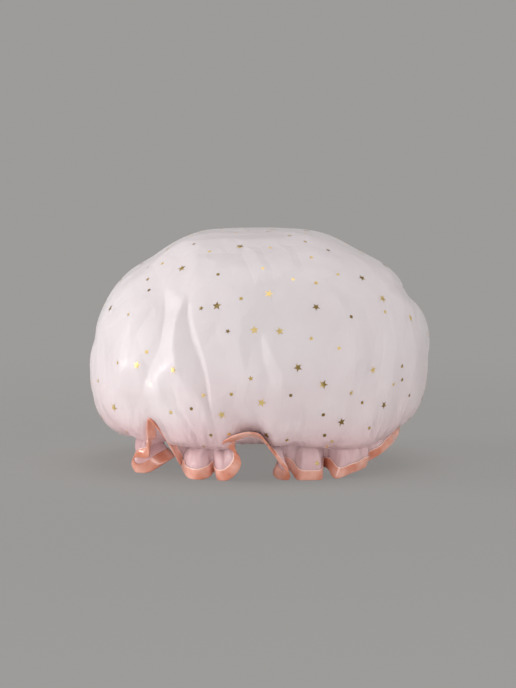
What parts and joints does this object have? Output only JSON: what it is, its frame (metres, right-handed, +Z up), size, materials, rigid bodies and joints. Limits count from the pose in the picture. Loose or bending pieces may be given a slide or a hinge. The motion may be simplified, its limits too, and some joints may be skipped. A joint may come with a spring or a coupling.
{
  "type": "shower cap",
  "caption": "Round bath cap of a sheer printed sheet over a waterproof lining, gathered on an elastic band above a ruffled hem with a folded ribbon edge.",
  "frame": {"origin": "on the surface that the cap stands on, below the middle of its box", "axes": "+Z up through the crown, -Y the front, +X to the right of someone who looks at the front"},
  "size_m": [0.2794, 0.2759, 0.1928],
  "materials": {
    "printed_sheet": "sheer, smooth, with a soft gloss",
    "lining_film": "soft film, satin",
    "satin_ribbon": "satin weave with a sheen",
    "elastic": "ribbed, matte",
    "foil_print": "bright printed foil",
    "thread": "twisted sewing thread"
  },
  "bodies": {
    "root": {"outer_sheet": "printed_sheet", "waterproof_lining": "lining_film", "hem_binding": "satin_ribbon", "elastic_band": "elastic"}
  },
  "joints": []
}
